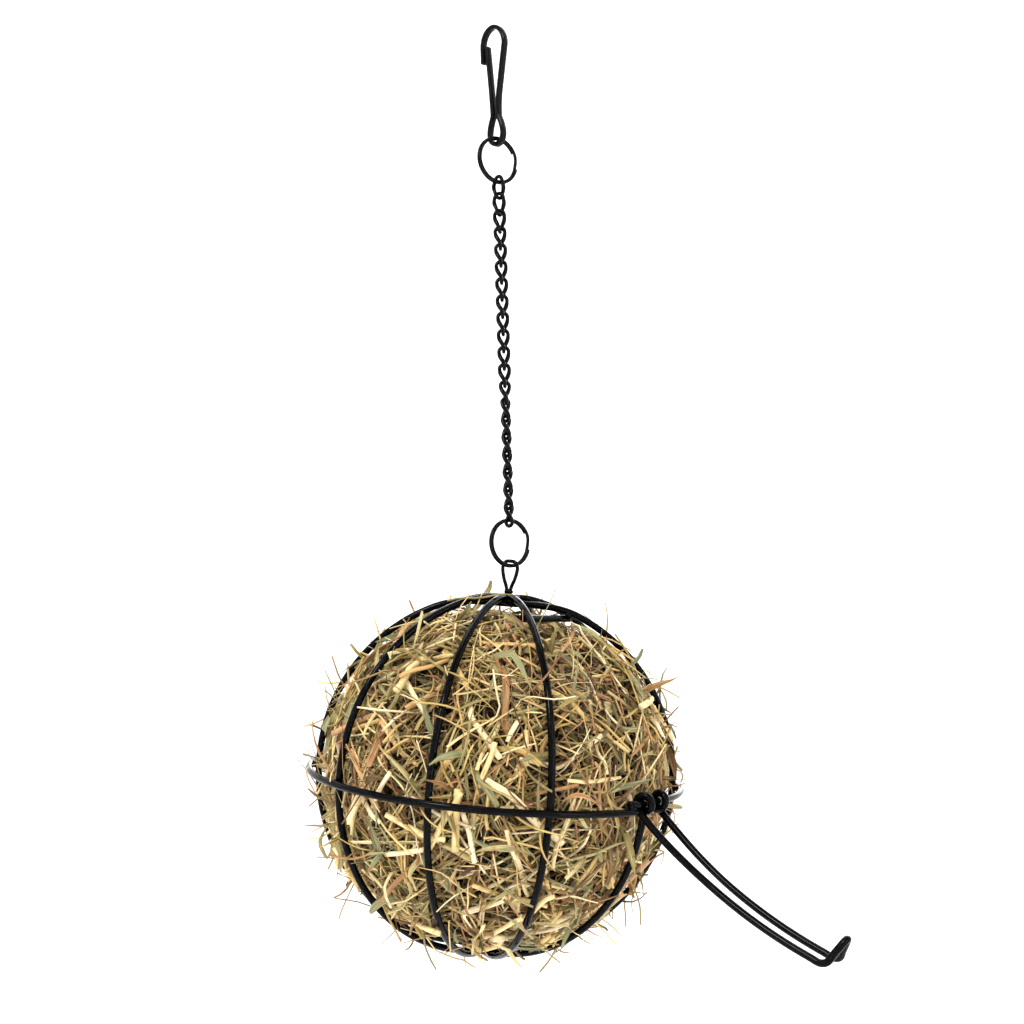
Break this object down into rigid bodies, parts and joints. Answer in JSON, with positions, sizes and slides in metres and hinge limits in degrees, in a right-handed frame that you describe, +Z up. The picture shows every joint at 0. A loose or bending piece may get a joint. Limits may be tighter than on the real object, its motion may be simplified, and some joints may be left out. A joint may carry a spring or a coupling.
{
  "type": "wire hay ball feeder",
  "caption": "Hanging wire ball that holds hay, with a sprung snap hook, split rings, a twisted-link chain and a hinged wire door.",
  "frame": {"origin": "inner top of the snap hook's arch, where it bears on whatever it hangs from", "axes": "+Z up along the hanging chain; +X towards the ball's door hinge, in the plane of the snap hook; +Y completes the right-handed frame"},
  "size_m": [0.1798, 0.1196, 0.3011],
  "materials": {
    "black_lacquered_wire": "gloss",
    "hay": "matte"
  },
  "bodies": {
    "snap_hook": {"snap_hook_body": "black_lacquered_wire"},
    "hook_gate": {"snap_hook_gate": "black_lacquered_wire"},
    "upper_ring": {"split_ring_upper": "black_lacquered_wire"},
    "link_01": {"chain_link_01": "black_lacquered_wire"},
    "link_02": {"chain_link_02": "black_lacquered_wire"},
    "link_03": {"chain_link_03": "black_lacquered_wire"},
    "link_04": {"chain_link_04": "black_lacquered_wire"},
    "link_05": {"chain_link_05": "black_lacquered_wire"},
    "link_06": {"chain_link_06": "black_lacquered_wire"},
    "link_07": {"chain_link_07": "black_lacquered_wire"},
    "link_08": {"chain_link_08": "black_lacquered_wire"},
    "link_09": {"chain_link_09": "black_lacquered_wire"},
    "link_10": {"chain_link_10": "black_lacquered_wire"},
    "link_11": {"chain_link_11": "black_lacquered_wire"},
    "link_12": {"chain_link_12": "black_lacquered_wire"},
    "link_13": {"chain_link_13": "black_lacquered_wire"},
    "link_14": {"chain_link_14": "black_lacquered_wire"},
    "link_15": {"chain_link_15": "black_lacquered_wire"},
    "link_16": {"chain_link_16": "black_lacquered_wire"},
    "link_17": {"chain_link_17": "black_lacquered_wire"},
    "link_18": {"chain_link_18": "black_lacquered_wire"},
    "link_19": {"chain_link_19": "black_lacquered_wire"},
    "link_20": {"chain_link_20": "black_lacquered_wire"},
    "lower_ring": {"split_ring_lower": "black_lacquered_wire"},
    "ball": {"hanging_eye": "black_lacquered_wire", "cage_hoop_outer": "black_lacquered_wire", "cage_hoop_inner": "black_lacquered_wire", "cage_rib_1": "black_lacquered_wire", "cage_rib_2": "black_lacquered_wire", "cage_rib_3": "black_lacquered_wire", "cage_rib_4": "black_lacquered_wire", "cage_rib_5": "black_lacquered_wire", "cage_rib_below_door": "black_lacquered_wire", "equator_ring": "black_lacquered_wire", "door_catch_bar": "black_lacquered_wire", "hay_fill": "hay"},
    "door": {"door_wire": "black_lacquered_wire"}
  },
  "joints": [
    {"name": "gate_spring", "type": "hinge", "parent": "snap_hook", "child": "hook_gate", "pos_m": [-0.0011, 0, -0.0291], "axis": [0, 1, 0], "range_deg": [0, 9], "stiffness_Nm_per_rad": 0.05, "springref_deg": -2.86},
    {"name": "upper_ring_swing", "type": "hinge", "parent": "snap_hook", "child": "upper_ring", "pos_m": [0, 0, -0.0369], "axis": [0.2756, 0.9613, 0], "range_deg": [-45, 45]},
    {"name": "link_01_swing", "type": "hinge", "parent": "upper_ring", "child": "link_01", "pos_m": [0, 0, -0.04952], "axis": [0.9903, -0.1392, 0], "range_deg": [-20, 20]},
    {"name": "link_02_swing", "type": "hinge", "parent": "link_01", "child": "link_02", "pos_m": [0, 0, -0.05672], "axis": [0.1392, 0.9903, 0], "range_deg": [-30, 30]},
    {"name": "link_03_swing", "type": "hinge", "parent": "link_02", "child": "link_03", "pos_m": [0, 0, -0.06082], "axis": [-0.9135, -0.4067, 0], "range_deg": [-30, 30]},
    {"name": "link_04_swing", "type": "hinge", "parent": "link_03", "child": "link_04", "pos_m": [0, 0, -0.06803], "axis": [0.4067, -0.9135, 0], "range_deg": [-30, 30]},
    {"name": "link_05_swing", "type": "hinge", "parent": "link_04", "child": "link_05", "pos_m": [0, 0, -0.07212], "axis": [0.788, 0.6157, 0], "range_deg": [-30, 30]},
    {"name": "link_06_swing", "type": "hinge", "parent": "link_05", "child": "link_06", "pos_m": [0, 0, -0.07933], "axis": [-0.6157, 0.788, 0], "range_deg": [-30, 30]},
    {"name": "link_07_swing", "type": "hinge", "parent": "link_06", "child": "link_07", "pos_m": [0, 0, -0.08342], "axis": [-0.788, -0.6157, 0], "range_deg": [-30, 30]},
    {"name": "link_08_swing", "type": "hinge", "parent": "link_07", "child": "link_08", "pos_m": [0, 0, -0.09062], "axis": [0.6157, -0.788, 0], "range_deg": [-30, 30]},
    {"name": "link_09_swing", "type": "hinge", "parent": "link_08", "child": "link_09", "pos_m": [0, 0, -0.09473], "axis": [0.788, 0.6157, 0], "range_deg": [-30, 30]},
    {"name": "link_10_swing", "type": "hinge", "parent": "link_09", "child": "link_10", "pos_m": [0, 0, -0.10193], "axis": [-0.6157, 0.788, 0], "range_deg": [-30, 30]},
    {"name": "link_11_swing", "type": "hinge", "parent": "link_10", "child": "link_11", "pos_m": [0, 0, -0.10602], "axis": [-0.788, -0.6157, 0], "range_deg": [-30, 30]},
    {"name": "link_12_swing", "type": "hinge", "parent": "link_11", "child": "link_12", "pos_m": [0, 0, -0.11323], "axis": [0.6157, -0.788, 0], "range_deg": [-30, 30]},
    {"name": "link_13_swing", "type": "hinge", "parent": "link_12", "child": "link_13", "pos_m": [0, 0, -0.11732], "axis": [0.5299, 0.848, 0], "range_deg": [-30, 30]},
    {"name": "link_14_swing", "type": "hinge", "parent": "link_13", "child": "link_14", "pos_m": [0, 0, -0.12452], "axis": [-0.848, 0.5299, 0], "range_deg": [-30, 30]},
    {"name": "link_15_swing", "type": "hinge", "parent": "link_14", "child": "link_15", "pos_m": [0, 0, -0.12862], "axis": [-0.2079, -0.9781, 0], "range_deg": [-30, 30]},
    {"name": "link_16_swing", "type": "hinge", "parent": "link_15", "child": "link_16", "pos_m": [0, 0, -0.13583], "axis": [0.9781, -0.2079, 0], "range_deg": [-30, 30]},
    {"name": "link_17_swing", "type": "hinge", "parent": "link_16", "child": "link_17", "pos_m": [0, 0, -0.13992], "axis": [0.2079, 0.9781, 0], "range_deg": [-30, 30]},
    {"name": "link_18_swing", "type": "hinge", "parent": "link_17", "child": "link_18", "pos_m": [0, 0, -0.14713], "axis": [-0.9781, 0.2079, 0], "range_deg": [-30, 30]},
    {"name": "link_19_swing", "type": "hinge", "parent": "link_18", "child": "link_19", "pos_m": [0, 0, -0.15122], "axis": [-0.2079, -0.9781, 0], "range_deg": [-30, 30]},
    {"name": "link_20_swing", "type": "hinge", "parent": "link_19", "child": "link_20", "pos_m": [0, 0, -0.15843], "axis": [0.9781, -0.2079, 0], "range_deg": [-30, 30]},
    {"name": "lower_ring_swing", "type": "hinge", "parent": "link_20", "child": "lower_ring", "pos_m": [0, 0, -0.16407], "axis": [-0.9781, 0.2079, 0], "range_deg": [-40, 40]},
    {"name": "ball_swing", "type": "hinge", "parent": "lower_ring", "child": "ball", "pos_m": [0, 0, -0.1767], "axis": [0, 1, 0], "range_deg": [-40, 40]},
    {"name": "door_hinge", "type": "hinge", "parent": "ball", "child": "door", "pos_m": [0.04965, 0, -0.25001], "axis": [0, -1, 0], "range_deg": [0, 158]}
  ]
}
